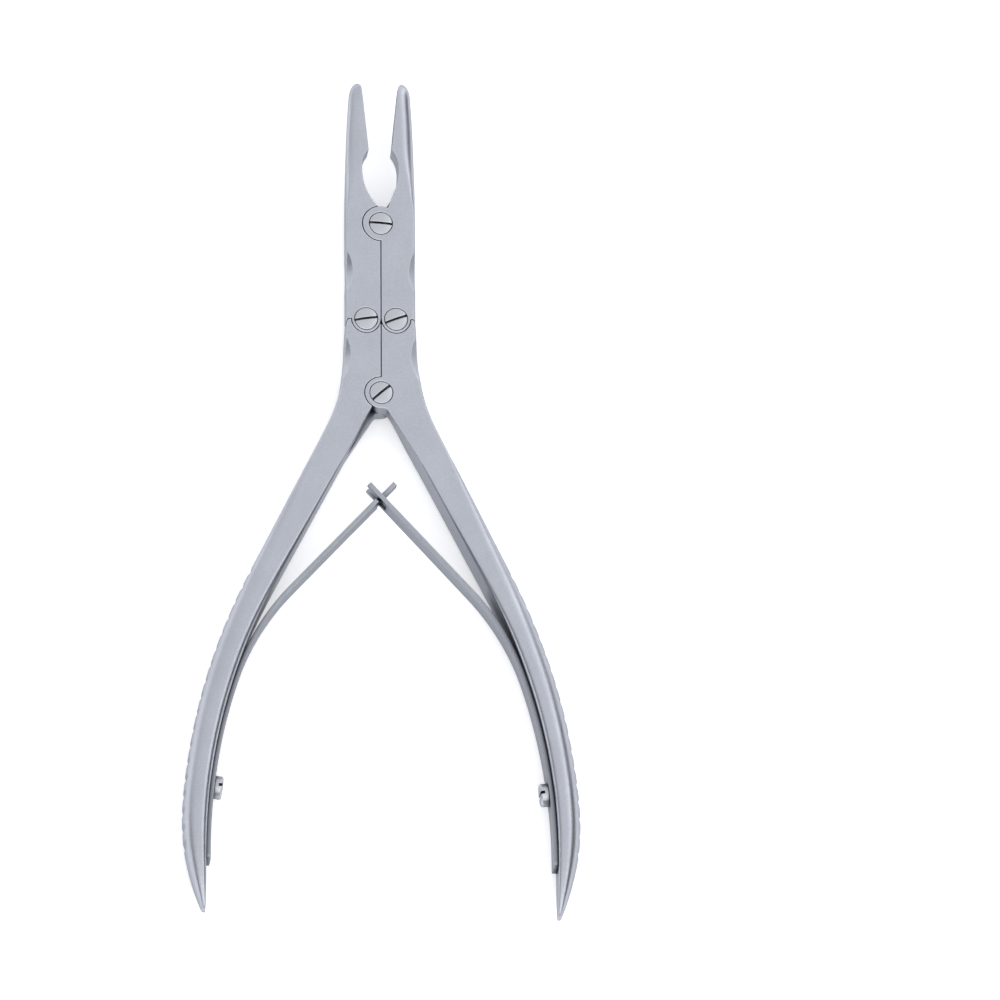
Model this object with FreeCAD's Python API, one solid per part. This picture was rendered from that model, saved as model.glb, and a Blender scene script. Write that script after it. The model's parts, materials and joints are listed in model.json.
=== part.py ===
import FreeCAD, Part

import math
import os

# Double-action bone rongeur, in millimetres.
# The model lies on its grips with the joint's front face up. +Y points to the jaws and +Z up.
# The pieces are drawn with the handle pivot's axis at the origin and the middle plane at z = 0,
# and are moved to the model's frame when they are written.

# Linkage: four pivots in a kite, the jaws above and the handles below
LINK_SPREAD = 3.07          # link pivot from the centre plane, handles open
LINK_RISE = 16.0            # link pivots above the handle pivot
JAW_PIVOT_RISE = 20.8       # jaw pivot above the link pivots
BLOCK_THICKNESS = 7.0       # ground joint block, front face to back face
BLOCK_HALF_WIDTH = 7.05     # outer edge of the block at the link pivots

# Lap joints
JAW_LUG_RADIUS = 3.7
HANDLE_LUG_RADIUS = 3.35
LINK_LUG_RADIUS = 2.95
LUG_CLEARANCE = 0.16        # round a lug, in its recess
LAP_GAP = 0.04              # between the two faces of a lap
SEAM_GAP = 0.17             # between the two halves on the centre plane, handles open
HORN_RADIUS = 0.75          # rounded shoulder outside a link recess
HORN_DROP = 0.83            # its centre, back from the link pivot
CUSP_ANGLE = 24.0           # a recess's thin inner edge is cut back to this angle
JAW_HORN_ANGLE = 99.0       # where a jaw's shoulder ends on the other jaw's lug
JAW_LUG_ANGLE = 114.0       # where a jaw's own lug runs out under the almond gap
WEB_ANGLE = 254.0           # where the web below a handle's own lug starts
WEB_DROP = 13.0             # where that web runs out on the handle's inner face
WEB_FILLET = 1.2            # between the web's edge and the lug

# Pivot screws
SHANK_RADIUS = 1.5
HEAD_RADIUS = 2.33
HEAD_HEIGHT = 1.5
HEAD_DOME = 0.3
SLOT_WIDTH = 0.5
SLOT_DEPTH = 0.75
THREAD_GAP = 0.02           # shank in the lug that holds its thread
RUNNING_GAP = 0.03          # shank in the lug that turns on it
JAW_RUNNING_GAP = 0.08      # the same at the jaw pivot
HEAD_GAP = 0.12             # head in its counterbore
SCREW_END_CHAMFER = 0.25
JAW_SLOT_ANGLE = -4.0
LEFT_LINK_SLOT_ANGLE = 9.0
RIGHT_LINK_SLOT_ANGLE = 21.0
HANDLE_SLOT_ANGLE = 41.0

# Handles
HANDLE_REACH = 111.6        # handle pivot to the ends of the grips
INNER_START_X = 2.1         # inner face where it leaves the handle joint
INNER_START_Y = -3.4
HANDLE_LEAN = 27.3          # shank from the centre plane, degrees
SHANK_END_Y = -42.0         # the straight shank passes into the bowed grip
GRIP_PARALLEL_Y = -99.6     # the grip's inner face is parallel to the centre plane below this
SHANK_TOP_Y = -8.0          # the shank passes into the block
BLOCK_EDGE_Y = 9.0          # the block's outer edge is nearly straight above this
BLOCK_EDGE_LEAN = 3.0
SHANK_TOP_THICKNESS = 6.3
GRIP_THICKNESS = 5.0
GRIP_THIN_Y = -89.0         # grip thickness is reached here, and the end taper starts
END_THICKNESS = 0.7
GRIP_WIDTH = 10.0           # grip front to back
GRIP_WIDTH_Y = -56.0        # full grip width is reached here
FLAT_END_Y = -12.0          # the ground faces of the block run out below this
FLAT_RUNOUT_RADIUS = 60.0
GRIND_ALLOWANCE = 0.1       # left on the blank and ground off the block's faces
EDGE_ROUND = 0.65           # outer corners of the block's blank
INNER_ROUND = 0.3           # inner corners of the shank
GRIP_INNER_ROUND = 1.3      # inner corners of the grip
GRIP_ROUND_SHARE = 0.84     # the grip's rounded corners, as a share of half its width
GRIP_DEPTH_SHARE = 0.62     # and as a share of its thickness
PAST_SEAM = 1.2             # the handle's blank past the centre plane at the link pivots

# Grip serrations
NOTCH_RADIUS = 1.5
NOTCH_DEPTH = 0.4
NOTCH_PITCH = 3.6
NOTCH_TOP_Y = -39.0
NOTCH_BOTTOM_Y = -101.0

# Ground finger scoops on the block's outer corners
SCOOP_LENGTH = 9.3
SCOOP_WIDTH = 1.3
HANDLE_SCOOP_Y = 7.6        # middle of the scoop, above the handle pivot
JAW_SCOOP_DROP = 10.4       # middle of the scoop, below the jaw pivot

# Jaws, with heights above the jaw pivot
JAW_REACH = 31.6
JAW_EDGE_HALF_WIDTH = 6.35  # outer edge where the tip starts to round
JAW_EDGE_BEND = 8.0         # the outer edge starts to draw in here
JAW_TIP_START = 28.0
JAW_TIP_X = 4.45            # summit of the tip from the centre plane
JAW_THIN_START = 4.0        # the jaw starts to thin here, front to back
JAW_THIN_END = 16.5
JAW_WIDTH = 4.8             # front to back behind the bite
JAW_TIP_WIDTH = 4.5
JAW_ROUND_START = 1.0       # outer corners start to round here
JAW_ROUND_END = 18.0
JAW_ROUND_DEPTH = 2.6       # rounded corner measured across the jaw
JAW_ROUND_SHARE = 0.86      # and as a share of half the width, front to back
JAW_PAST_SEAM = 0.5         # the jaw's blank past the centre plane
JAW_TIP_EDGE_SHARE = 0.12   # of the width, left at the end of the tip

# Bite: almond-shaped gap, heel and rim
ALMOND_WIDE = 3.74
ALMOND_WIDE_HEIGHT = 11.7
ALMOND_LOW = 2.55
ALMOND_LOW_HEIGHT = 6.6
HEEL_HALF_GAP = 2.4
HEEL_HEIGHT = 16.4
HEEL_HOLLOW = 0.45          # bulge of the gap's edge between its widest place and the heel
RIM_TOP_HALF_GAP = 3.8
RIM_TOP_HEIGHT = 30.6

# Cup in the bite face
CUP_HALF_WIDTH = 1.85
CUP_START_HEIGHT = 17.2
CUP_LENGTH = 13.7
CUP_WIDEST_SHARE = 0.66     # of the cup's length, from the heel

# Leaf springs
SPRING_THICKNESS = 0.95
SPRING_WIDTH = 5.5
SPRING_TOP_WIDTH = 4.6
SPRING_SEAT_GAP = 0.02      # spring on the handle's inner face
SPRING_END_Y = -101.2
SPRING_LEAVE_LEAN = 18.0    # the handle's lean where the spring leaves it
SPRING_BEND_RADIUS = 52.0
SPRING_LEAN = 42.5
SPRING_END_ROUND = 1.2
TONGUE_WIDTH = 2.0
TONGUE_OVERHANG = 4.4       # past the crossing
TONGUE_SHOULDER = 1.2       # shoulder before the crossing
FORK_SLOT_WIDTH = 2.5
FORK_OVERHANG = 3.6
FORK_SLOT_DEPTH = 2.2       # slot's end before the crossing

# Spring screws
SPRING_SCREW_Y = -84.8
SPRING_SCREW_RADIUS = 1.25
SPRING_SCREW_DEPTH = 3.2
SPRING_SCREW_HEAD_RADIUS = 2.4
SPRING_SCREW_HEAD_HEIGHT = 1.7
SPRING_SCREW_SLOT_WIDTH = 0.65
SPRING_SCREW_SLOT_DEPTH = 0.9
SPRING_HOLE_GAP = 0.2       # screw in the spring's hole
SPRING_HOLE_SPARE = 0.3     # blind hole past the screw's end
HEAD_EDGE_ROUND = 0.3

# Values that follow from the sizes above
HALF_BLOCK = BLOCK_THICKNESS / 2
HALF_GRIP = GRIP_WIDTH / 2
HALF_LAP = LAP_GAP / 2
HALF_SEAM = SEAM_GAP / 2
JAW_PIVOT_Y = LINK_RISE + JAW_PIVOT_RISE
TIP_Y = JAW_PIVOT_Y + JAW_REACH
END_Y = -HANDLE_REACH
FRAME_SHIFT = FreeCAD.Vector(0, -(TIP_Y + END_Y) / 2, HALF_GRIP)
FAR = 200.0                 # past every piece, for cutting tools
HANDLE_PIVOT = FreeCAD.Vector(0, 0, 0)
JAW_PIVOT = FreeCAD.Vector(0, JAW_PIVOT_Y, 0)
LEFT_LINK = FreeCAD.Vector(-LINK_SPREAD, LINK_RISE, 0)
RIGHT_LINK = FreeCAD.Vector(LINK_SPREAD, LINK_RISE, 0)
GRIP_BOW_RADIUS = (SHANK_END_Y - GRIP_PARALLEL_Y) / math.sin(math.radians(HANDLE_LEAN))
Z_AXIS = FreeCAD.Vector(0, 0, 1)


def smooth_step(value, start, end):
    """Share from 0 at start to 1 at end, with no slope at either."""
    share = min(max((value - start) / (end - start), 0.0), 1.0)
    return share * share * (3 - 2 * share)


def block(x_low, x_high, y_low, y_high, z_low, z_high):
    """Box between two corners."""
    corner = FreeCAD.Vector(x_low, y_low, z_low)
    return Part.makeBox(x_high - x_low, y_high - y_low, z_high - z_low, corner)


def disc(centre, radius, z_low, z_high):
    """Round plate with its axis along Z."""
    return Part.makeCylinder(radius, z_high - z_low, FreeCAD.Vector(centre.x, centre.y, z_low))


def line(start, end):
    """Straight edge."""
    return Part.LineSegment(start, end).toShape()


def arc(start, middle, end):
    """Round edge through three points."""
    return Part.Arc(start, middle, end).toShape()


def plate(edges, z_low, z_high):
    """Plate with an outline drawn at z = 0."""
    face = Part.Face(Part.Wire(edges))
    solid = face.extrude(FreeCAD.Vector(0, 0, z_high - z_low))
    solid.translate(FreeCAD.Vector(0, 0, z_low))
    return solid


def mirrored(shape):
    """The same shape on the other side of the centre plane."""
    return shape.mirror(FreeCAD.Vector(0, 0, 0), FreeCAD.Vector(1, 0, 0))


def polar(centre, radius, degrees):
    """Point on a circle about a pivot."""
    angle = math.radians(degrees)
    return centre + FreeCAD.Vector(radius * math.cos(angle), radius * math.sin(angle), 0)


def corner_edge(start, corner, end):
    """Quarter-round edge from start to end about a corner, not always a circle."""
    pull = 0.5523
    curve = Part.BezierCurve()
    curve.setPoles([start, start + (corner - start) * pull, end + (corner - end) * pull, end])
    return curve.toShape()


def section(y, inner_x, outer_x, half_width, inner_round, outer_depth, outer_width):
    """Section of a left-hand blank at height y, inner_x being its side next to the centre plane.

    outer_depth and outer_width are the rounded outer corners along X and along Z.
    """
    corners = (
        (inner_x, half_width, 0, -1, -1, 0, inner_round, inner_round),
        (outer_x, half_width, 1, 0, 0, -1, outer_depth, outer_width),
        (outer_x, -half_width, 0, 1, 1, 0, outer_width, outer_depth),
        (inner_x, -half_width, -1, 0, 0, 1, inner_round, inner_round),
    )
    edges = []
    last_end = None
    first_start = None
    for x, z, before_x, before_z, after_x, after_z, before, after in corners:
        start = FreeCAD.Vector(x + before_x * before, y, z + before_z * before)
        end = FreeCAD.Vector(x + after_x * after, y, z + after_z * after)
        if last_end is None:
            first_start = start
        else:
            edges.append(line(last_end, start))
        edges.append(corner_edge(start, FreeCAD.Vector(x, y, z), end))
        last_end = end
    edges.append(line(last_end, first_start))
    return Part.Wire(edges)


def inner_lean(y):
    """Lean of the left handle's inner face from the centre plane at height y, in radians."""
    if y >= SHANK_END_Y:
        return math.radians(HANDLE_LEAN)
    if y <= GRIP_PARALLEL_Y:
        return 0.0
    return math.asin((y - GRIP_PARALLEL_Y) / GRIP_BOW_RADIUS)


def inner_face_x(y):
    """X of the left handle's inner face at height y."""
    lean = math.radians(HANDLE_LEAN)
    if y >= SHANK_END_Y:
        return -INNER_START_X - (INNER_START_Y - y) * math.tan(lean)
    shank_end_x = -INNER_START_X - (INNER_START_Y - SHANK_END_Y) * math.tan(lean)
    return shank_end_x - GRIP_BOW_RADIUS * (math.cos(inner_lean(y)) - math.cos(lean))


def handle_thickness(y):
    """Thickness of a handle across its inner face at height y."""
    if y >= GRIP_THIN_Y:
        share = (SHANK_TOP_Y - y) / (SHANK_TOP_Y - GRIP_THIN_Y)
        return SHANK_TOP_THICKNESS + (GRIP_THICKNESS - SHANK_TOP_THICKNESS) * share
    length = GRIP_THIN_Y - END_Y
    depth = GRIP_THICKNESS - END_THICKNESS
    radius = (length * length + depth * depth) / (2 * depth)
    return GRIP_THICKNESS - radius + math.sqrt(radius * radius - (GRIP_THIN_Y - y) ** 2)


def outer_face_x(y):
    """X of the left handle's outer edge at height y."""
    if y <= SHANK_TOP_Y:
        return inner_face_x(y) - handle_thickness(y) / math.cos(inner_lean(y))
    top_slope = math.tan(math.radians(BLOCK_EDGE_LEAN))
    if y >= BLOCK_EDGE_Y:
        return -BLOCK_HALF_WIDTH - (LINK_RISE - y) * top_slope
    # Cubic between the block's edge and the shank, with both slopes kept
    top_x = -BLOCK_HALF_WIDTH - (LINK_RISE - BLOCK_EDGE_Y) * top_slope
    bottom_x = inner_face_x(SHANK_TOP_Y) - SHANK_TOP_THICKNESS / math.cos(inner_lean(SHANK_TOP_Y))
    length = BLOCK_EDGE_Y - SHANK_TOP_Y
    share = (BLOCK_EDGE_Y - y) / length
    top_pull = -top_slope * length
    bottom_pull = -math.tan(math.radians(HANDLE_LEAN)) * length
    return (
        top_x * (2 * share ** 3 - 3 * share ** 2 + 1)
        + top_pull * (share ** 3 - 2 * share ** 2 + share)
        + bottom_x * (3 * share ** 2 - 2 * share ** 3)
        + bottom_pull * (share ** 3 - share ** 2)
    )


def handle_half_width(y):
    """Half of the handle's blank, front to back, at height y."""
    blank = HALF_BLOCK + GRIND_ALLOWANCE
    if y >= GRIP_THIN_Y:
        return blank + (HALF_GRIP - blank) * smooth_step(y, FLAT_END_Y, GRIP_WIDTH_Y)
    share = (GRIP_THIN_Y - y) / (GRIP_THIN_Y - END_Y)
    return END_THICKNESS + (HALF_GRIP - END_THICKNESS) * math.sqrt(1 - share ** 2)


def handle_blank():
    """Forged blank of the left handle, with its block side left past the centre plane."""
    top_y = LINK_RISE + HORN_DROP + 1.0
    grip_step = (SHANK_END_Y - GRIP_PARALLEL_Y) / 6
    heights = [top_y, LINK_RISE - 2, BLOCK_EDGE_Y, BLOCK_EDGE_Y - 4, 1.0, INNER_START_Y, SHANK_TOP_Y]
    heights += [SHANK_TOP_Y + (SHANK_END_Y - SHANK_TOP_Y) * share for share in (0.25, 0.5, 0.75)]
    heights += [SHANK_END_Y - grip_step * count for count in range(6)]
    end_length = GRIP_PARALLEL_Y - END_Y
    heights += [GRIP_PARALLEL_Y - end_length * share for share in (0, 0.3, 0.55, 0.75, 0.89, 0.97, 1)]
    wires = []
    for y in heights:
        past_seam = PAST_SEAM * smooth_step(y, INNER_START_Y, LINK_RISE)
        inner_x = min(inner_face_x(y), past_seam)
        outer_x = outer_face_x(y)
        half_width = handle_half_width(y)
        round_share = smooth_step(y, SHANK_TOP_Y, GRIP_WIDTH_Y)
        full_width = GRIP_ROUND_SHARE * half_width
        outer_width = EDGE_ROUND + (full_width - EDGE_ROUND) * round_share
        full_depth = GRIP_DEPTH_SHARE * (inner_x - outer_x)
        outer_depth = EDGE_ROUND + (full_depth - EDGE_ROUND) * round_share
        if y < GRIP_THIN_Y:
            outer_width = min(outer_width, full_width)
        inner_round = INNER_ROUND + (GRIP_INNER_ROUND - INNER_ROUND) * round_share
        inner_round = min(inner_round, 0.25 * (inner_x - outer_x))
        wires.append(section(y, inner_x, outer_x, half_width, inner_round, outer_depth, outer_width))
    return Part.makeLoft(wires, True, False)


def face_grind():
    """Tool that leaves the block's front face flat and runs out along the shank."""
    rise = GRIP_WIDTH
    angle = math.acos(1 - rise / FLAT_RUNOUT_RADIUS)
    start = FreeCAD.Vector(0, FLAT_END_Y, HALF_BLOCK)
    middle = start + FreeCAD.Vector(
        0,
        -FLAT_RUNOUT_RADIUS * math.sin(angle / 2),
        FLAT_RUNOUT_RADIUS * (1 - math.cos(angle / 2)),
    )
    end = start + FreeCAD.Vector(0, -FLAT_RUNOUT_RADIUS * math.sin(angle), rise)
    far_end = FreeCAD.Vector(0, FAR, HALF_BLOCK + rise)
    far_start = FreeCAD.Vector(0, FAR, HALF_BLOCK)
    edges = [arc(start, middle, end), line(end, far_end), line(far_end, far_start), line(far_start, start)]
    tool = Part.Face(Part.Wire(edges)).extrude(FreeCAD.Vector(2 * FAR, 0, 0))
    tool.translate(FreeCAD.Vector(-FAR, 0, 0))
    return tool


def both_faces(tool):
    """The same tool at the front and at the back."""
    return [tool, tool.mirror(FreeCAD.Vector(0, 0, 0), Z_AXIS)]


def scoop(edge_x, edge_y, lean):
    """Grinding wheel laid across the block's front outer corner."""
    sagitta = SCOOP_WIDTH / math.sqrt(2)
    radius = ((SCOOP_LENGTH / 2) ** 2 + sagitta ** 2) / (2 * sagitta)
    along = FreeCAD.Vector(-math.sin(lean), -math.cos(lean), 0)
    outward = FreeCAD.Vector(-math.cos(lean), math.sin(lean), 0)
    away = (outward + Z_AXIS) * (1 / math.sqrt(2))
    axis = away.cross(along)
    centre = FreeCAD.Vector(edge_x, edge_y, HALF_BLOCK) + away * (radius - sagitta)
    length = 4 * SCOOP_LENGTH
    return Part.makeCylinder(radius, length, centre - axis * (length / 2), axis)


def notches():
    """Tools for the serrations along the outer side of the left grip."""
    tools = []
    y = NOTCH_TOP_Y
    while y > NOTCH_BOTTOM_Y:
        lean = math.atan((outer_face_x(y + 0.5) - outer_face_x(y - 0.5)) / 1.0)
        outward = FreeCAD.Vector(-math.cos(lean), math.sin(lean), 0)
        centre = FreeCAD.Vector(outer_face_x(y), y, 0) + outward * (NOTCH_RADIUS - NOTCH_DEPTH)
        tools.append(disc(centre, NOTCH_RADIUS, -GRIP_WIDTH, GRIP_WIDTH))
        y -= NOTCH_PITCH * math.cos(lean)
    return tools


def layer_span(in_front):
    """Lowest and highest z of the lug in one of the two layers of a lap joint."""
    if in_front:
        return HALF_LAP, HALF_BLOCK
    return -HALF_BLOCK, -HALF_LAP


def room_span(in_front):
    """Span cleared in one layer for the other piece's lug."""
    if in_front:
        return -HALF_LAP, GRIP_WIDTH
    return -GRIP_WIDTH, HALF_LAP


def horn_centre(up):
    """Centre of the rounded shoulder outside the left link, for the layer where up is 1 or -1."""
    return FreeCAD.Vector(-BLOCK_HALF_WIDTH + HORN_RADIUS, LINK_RISE - up * HORN_DROP, 0)


def band(x_low, x_high, y_from, up, z_low, z_high):
    """Box from y_from upwards, or downwards where up is -1."""
    y_low, y_high = sorted((y_from, y_from + up * 40))
    return block(x_low, x_high, y_low, y_high, z_low, z_high)


def recess_side(solid, up, in_front):
    """Cut the end of a piece that holds the other piece's lug at the left link."""
    z_low, z_high = room_span(in_front)
    horn = horn_centre(up)
    outside = band(-20, -LINK_SPREAD, horn.y, up, z_low, z_high)
    outside = outside.cut(disc(horn, HORN_RADIUS, z_low - 1, z_high + 1))
    cusp_y = LINK_RISE - up * LINK_LUG_RADIUS * math.sin(math.radians(CUSP_ANGLE))
    inside = band(-LINK_SPREAD, 20, cusp_y, up, z_low, z_high)
    round_room = disc(LEFT_LINK, LINK_LUG_RADIUS + LUG_CLEARANCE, z_low, z_high)
    return solid.cut([outside, inside, round_room])


def lug_side(solid, up, in_front):
    """Cut the end of a piece to its own lug at the left link, and add the lug."""
    room_low, room_high = room_span(in_front)
    horn = horn_centre(-up)
    outside = band(-20, -LINK_SPREAD, horn.y, up, room_low, room_high)
    shoulder = disc(horn, HORN_RADIUS + SEAM_GAP, room_low, room_high)
    inside = band(-LINK_SPREAD, 20, LINK_RISE, up, room_low, room_high)
    z_low, z_high = layer_span(in_front)
    lug = disc(LEFT_LINK, LINK_LUG_RADIUS, z_low, z_high)
    return solid.cut([outside, shoulder, inside]).fuse(lug)


def screw_seat(centre, running_gap):
    """Counterbore and running hole of a pivot screw, through a front lug."""
    floor_z = HALF_BLOCK - HEAD_HEIGHT - RUNNING_GAP
    counterbore = disc(centre, HEAD_RADIUS + HEAD_GAP, floor_z, HALF_BLOCK + 1)
    return counterbore.fuse(disc(centre, SHANK_RADIUS + running_gap, -HALF_LAP, HALF_BLOCK))


def thread_hole(centre):
    """Hole of a pivot screw through a back lug."""
    return disc(centre, SHANK_RADIUS + THREAD_GAP, -HALF_BLOCK - 1, HALF_LAP)


def pivot_web(in_front):
    """Web between a left handle's own lug and its inner face."""
    start = polar(HANDLE_PIVOT, HANDLE_LUG_RADIUS, WEB_ANGLE)
    end = FreeCAD.Vector(inner_face_x(-WEB_DROP), -WEB_DROP, 0)
    along = (end - start).normalize()
    outward = FreeCAD.Vector(-along.y, along.x, 0)
    # The fillet touches the web's edge on one side and the lug's rim on the other
    offset = start + outward * WEB_FILLET - HANDLE_PIVOT
    reach = HANDLE_LUG_RADIUS + WEB_FILLET
    back = offset.dot(along)
    slide = -back + math.sqrt(back ** 2 - offset.dot(offset) + reach ** 2)
    fillet_centre = HANDLE_PIVOT + offset + along * slide
    on_web = start + along * slide
    on_lug = HANDLE_PIVOT + (fillet_centre - HANDLE_PIVOT) * (HANDLE_LUG_RADIUS / reach)
    towards_material = ((on_web - fillet_centre) + (on_lug - fillet_centre)).normalize()
    inside_low = end + FreeCAD.Vector(-2, 0, 0)
    inside_high = polar(HANDLE_PIVOT, HANDLE_LUG_RADIUS, 200)
    edges = [
        arc(on_lug, fillet_centre + towards_material * WEB_FILLET, on_web),
        line(on_web, end),
        line(end, inside_low),
        line(inside_low, inside_high),
        line(inside_high, HANDLE_PIVOT),
        line(HANDLE_PIVOT, on_lug),
    ]
    return plate(edges, *layer_span(in_front))


def spring_screw_line():
    """Point on the left handle's inner face at the spring screw, and the direction away from it."""
    lean = inner_lean(SPRING_SCREW_Y)
    point = FreeCAD.Vector(inner_face_x(SPRING_SCREW_Y), SPRING_SCREW_Y, 0)
    return point, FreeCAD.Vector(math.cos(lean), -math.sin(lean), 0)


def handle(lug_in_front):
    """A left-hand handle whose lug at the handle pivot is in front or at the back."""
    solid = handle_blank()
    solid = solid.cut(both_faces(face_grind()))
    lean = math.atan(outer_face_x(HANDLE_SCOOP_Y + 1) - outer_face_x(HANDLE_SCOOP_Y))
    corner_scoop = scoop(outer_face_x(HANDLE_SCOOP_Y), HANDLE_SCOOP_Y, lean)
    solid = solid.cut(both_faces(corner_scoop) + notches())
    solid = solid.cut(block(-HALF_SEAM, 20, 0, 40, -GRIP_WIDTH, GRIP_WIDTH))
    room_low, room_high = room_span(not lug_in_front)
    recess = disc(HANDLE_PIVOT, HANDLE_LUG_RADIUS + LUG_CLEARANCE, room_low, room_high)
    solid = recess_side(solid.cut(recess), 1, True)
    solid = lug_side(solid, 1, False)
    lug = disc(HANDLE_PIVOT, HANDLE_LUG_RADIUS, *layer_span(lug_in_front))
    solid = solid.fuse([lug, pivot_web(lug_in_front)])
    if lug_in_front:
        pivot_hole = screw_seat(HANDLE_PIVOT, RUNNING_GAP)
    else:
        pivot_hole = thread_hole(HANDLE_PIVOT)
    point, direction = spring_screw_line()
    depth = SPRING_SCREW_DEPTH + SPRING_HOLE_SPARE
    bottom = point - direction * depth
    spring_hole = Part.makeCylinder(SPRING_SCREW_RADIUS + THREAD_GAP, depth + 1, bottom, direction)
    return solid.cut([pivot_hole, thread_hole(LEFT_LINK), spring_hole])


def jaw_outer_x(height):
    """X of the left jaw's outer edge at a height above the jaw pivot."""
    draw_in = BLOCK_HALF_WIDTH - JAW_EDGE_HALF_WIDTH
    share = max(height - JAW_EDGE_BEND, 0) / (JAW_TIP_START - JAW_EDGE_BEND)
    if height <= JAW_TIP_START:
        return -BLOCK_HALF_WIDTH + draw_in * share ** 2
    tip_share = (height - JAW_TIP_START) / (JAW_REACH - JAW_TIP_START)
    return -JAW_TIP_X - (JAW_EDGE_HALF_WIDTH - JAW_TIP_X) * math.sqrt(max(1 - tip_share ** 2, 0))


def jaw_half_width(height):
    """Half of the jaw's blank, front to back, at a height above the jaw pivot."""
    blank = HALF_BLOCK + GRIND_ALLOWANCE
    if height <= JAW_THIN_END:
        thin = smooth_step(height, JAW_THIN_START, JAW_THIN_END)
        return blank + (JAW_WIDTH / 2 - blank) * thin
    share = min((height - JAW_THIN_END) / (JAW_TIP_START - JAW_THIN_END), 1)
    half = (JAW_WIDTH + (JAW_TIP_WIDTH - JAW_WIDTH) * share) / 2
    tip_share = max(height - JAW_TIP_START, 0) / (JAW_REACH - JAW_TIP_START)
    rounded = math.sqrt(max(1 - tip_share ** 2, 0))
    return half * (JAW_TIP_EDGE_SHARE + (1 - JAW_TIP_EDGE_SHARE) * rounded)


def jaw_blank():
    """Forged blank of the left jaw, with its inner side left past the centre plane."""
    low = -JAW_PIVOT_RISE - HORN_DROP - 1.0
    heights = [low + (JAW_THIN_START - low) * count / 7 for count in range(8)]
    heights += [JAW_THIN_START + (JAW_THIN_END - JAW_THIN_START) * share for share in (0.25, 0.5, 0.75, 1)]
    heights += [JAW_THIN_END + (JAW_TIP_START - JAW_THIN_END) * share for share in (0.35, 0.7, 1)]
    tip_length = JAW_REACH - JAW_TIP_START
    heights += [JAW_TIP_START + tip_length * math.sin(math.radians(angle)) for angle in (25, 48, 68, 90)]
    wires = []
    for height in heights:
        half_width = jaw_half_width(height)
        outer_x = jaw_outer_x(height)
        rounding = smooth_step(height, JAW_ROUND_START, JAW_ROUND_END)
        outer_depth = EDGE_ROUND + (JAW_ROUND_DEPTH - EDGE_ROUND) * rounding
        outer_depth = min(outer_depth, 0.5 * (JAW_PAST_SEAM - outer_x))
        outer_width = EDGE_ROUND + (JAW_ROUND_SHARE * half_width - EDGE_ROUND) * rounding
        y = JAW_PIVOT_Y + height
        wires.append(section(y, JAW_PAST_SEAM, outer_x, half_width, 0.05, outer_depth, outer_width))
    return Part.makeLoft(wires, True, False)


def bite_point(half_gap, height):
    """Point on the left side of the bite, at a height above the jaw pivot."""
    return FreeCAD.Vector(-half_gap, JAW_PIVOT_Y + height, 0)


def bite_room():
    """Everything on the bite side of the left jaw's inner edge."""
    start = polar(JAW_PIVOT, JAW_LUG_RADIUS + LUG_CLEARANCE, JAW_HORN_ANGLE)
    low = bite_point(ALMOND_LOW, ALMOND_LOW_HEIGHT)
    wide = bite_point(ALMOND_WIDE, ALMOND_WIDE_HEIGHT)
    heel = bite_point(HEEL_HALF_GAP, HEEL_HEIGHT)
    chord = heel - wide
    across = FreeCAD.Vector(-chord.y, chord.x, 0)
    across.normalize()
    hollow = (wide + heel) * 0.5 + across * HEEL_HOLLOW
    rim_top = bite_point(RIM_TOP_HALF_GAP, RIM_TOP_HEIGHT)
    tip = bite_point(JAW_TIP_X, JAW_REACH + 0.05)
    tip_middle = (rim_top + tip) * 0.5 + FreeCAD.Vector(-0.09, 0.09, 0)
    above = bite_point(JAW_TIP_X, JAW_REACH + 10)
    right_above = bite_point(-10, JAW_REACH + 10)
    right_below = FreeCAD.Vector(10, start.y, 0)
    edges = [
        arc(start, low, wide),
        arc(wide, hollow, heel),
        line(heel, rim_top),
        arc(rim_top, tip_middle, tip),
        line(tip, above),
        line(above, right_above),
        line(right_above, right_below),
        line(right_below, start),
    ]
    return plate(edges, -GRIP_WIDTH, GRIP_WIDTH)


def lug_runout(in_front):
    """Room above a left jaw's own lug for the other jaw's shoulder."""
    z_low, z_high = room_span(in_front)
    start = polar(JAW_PIVOT, JAW_LUG_RADIUS - 0.3, JAW_LUG_ANGLE)
    low = bite_point(ALMOND_LOW, ALMOND_LOW_HEIGHT)
    right_high = FreeCAD.Vector(10, low.y, 0)
    right_low = FreeCAD.Vector(10, start.y, 0)
    edges = [line(start, low), line(low, right_high), line(right_high, right_low), line(right_low, start)]
    return plate(edges, z_low, z_high)


def cup():
    """Spoon-shaped hollow, turned about the left jaw's rim line."""
    power = math.log(0.5) / math.log(CUP_WIDEST_SHARE)
    points = []
    steps = 10
    for count in range(steps + 1):
        share = (1 - math.cos(math.pi * count / steps)) / 2
        radius = CUP_HALF_WIDTH * math.sqrt(max(math.sin(math.pi * share ** power), 0))
        points.append(FreeCAD.Vector(radius, CUP_LENGTH * share, 0))
    points.reverse()
    curve = Part.BSplineCurve()
    curve.interpolate(points)
    face = Part.Face(Part.Wire([curve.toShape(), line(points[-1], points[0])]))
    solid = face.revolve(FreeCAD.Vector(0, 0, 0), FreeCAD.Vector(0, 1, 0), 360)
    rim_slope = (RIM_TOP_HALF_GAP - HEEL_HALF_GAP) / (RIM_TOP_HEIGHT - HEEL_HEIGHT)
    solid.rotate(FreeCAD.Vector(0, 0, 0), Z_AXIS, math.degrees(math.atan(rim_slope)))
    start_gap = HEEL_HALF_GAP + rim_slope * (CUP_START_HEIGHT - HEEL_HEIGHT)
    solid.translate(bite_point(start_gap, CUP_START_HEIGHT))
    return solid


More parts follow.
